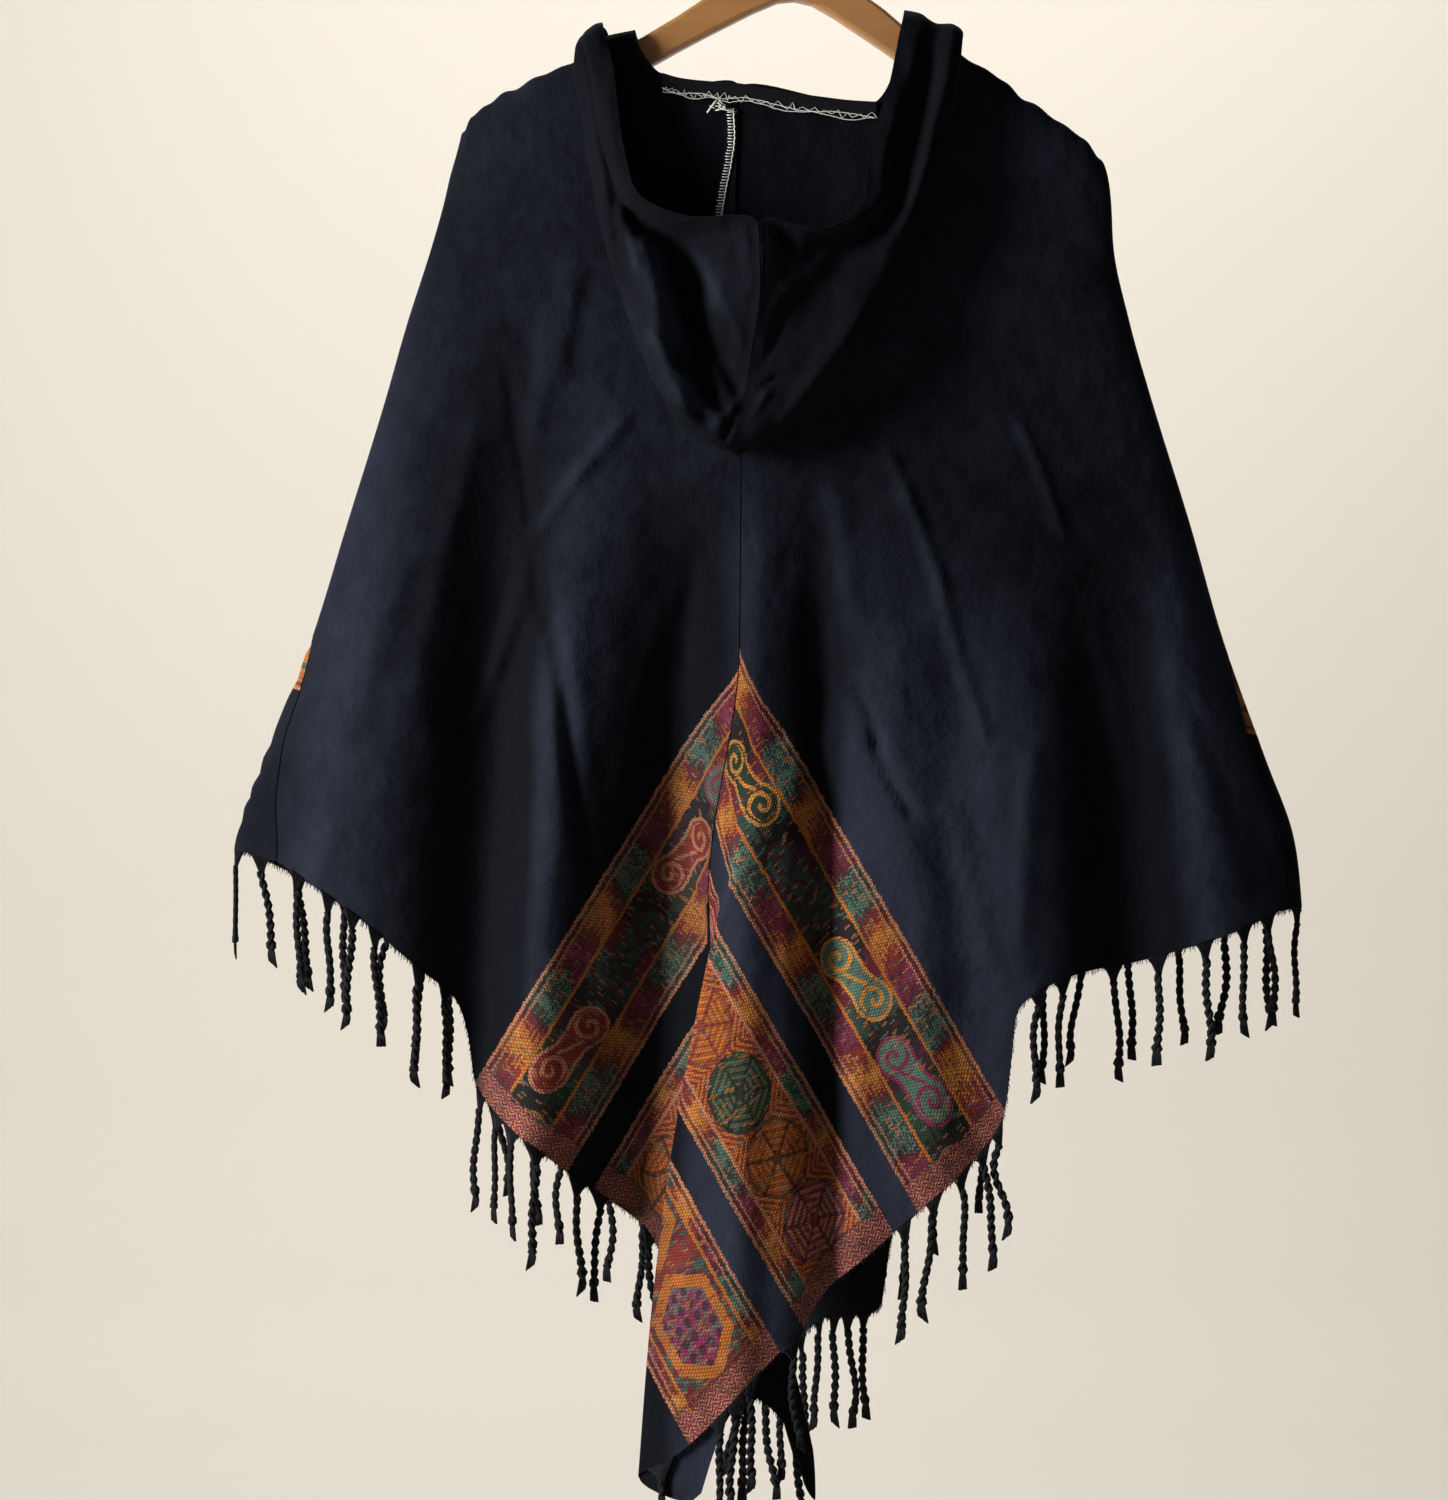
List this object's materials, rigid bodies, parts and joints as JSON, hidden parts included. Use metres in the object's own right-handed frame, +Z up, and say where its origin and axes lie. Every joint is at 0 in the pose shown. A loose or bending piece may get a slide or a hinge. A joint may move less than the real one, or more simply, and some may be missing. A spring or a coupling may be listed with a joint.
{
  "type": "hooded fringed poncho on a wooden hanger",
  "caption": "Woven poncho with a hanging hood, a pleated centre-back point and twisted rope fringe, draped over a wooden hanger with a wire hook.",
  "frame": {"origin": "the point inside the top of the hanger's hook that rests on a rail", "axes": "+Z up, +Y towards the garment's front, +X to the right when its back is looked at, as in the picture"},
  "size_m": [0.7567, 0.1218, 1.1993],
  "materials": {
    "woven_wool": "soft brushed wool twill, near-black navy with patterned bands",
    "overlocked_cloth": "dark wool with pale overlock stitching",
    "yarn": "twisted black wool yarn",
    "varnished_wood": "clear satin varnish",
    "steel_wire": "bright plated wire"
  },
  "bodies": {
    "root": {"back_left": "woven_wool", "back_right": "woven_wool", "front_left": "woven_wool", "front_right": "woven_wool", "hood_left": "woven_wool", "hood_right": "woven_wool", "neck_allowance": "overlocked_cloth", "hood_allowance": "overlocked_cloth", "fringe_back_left": "yarn", "fringe_back_right": "yarn", "fringe_front_left": "yarn", "fringe_front_right": "yarn", "hanger_wood": "varnished_wood", "hanger_hook": "steel_wire"}
  },
  "joints": []
}
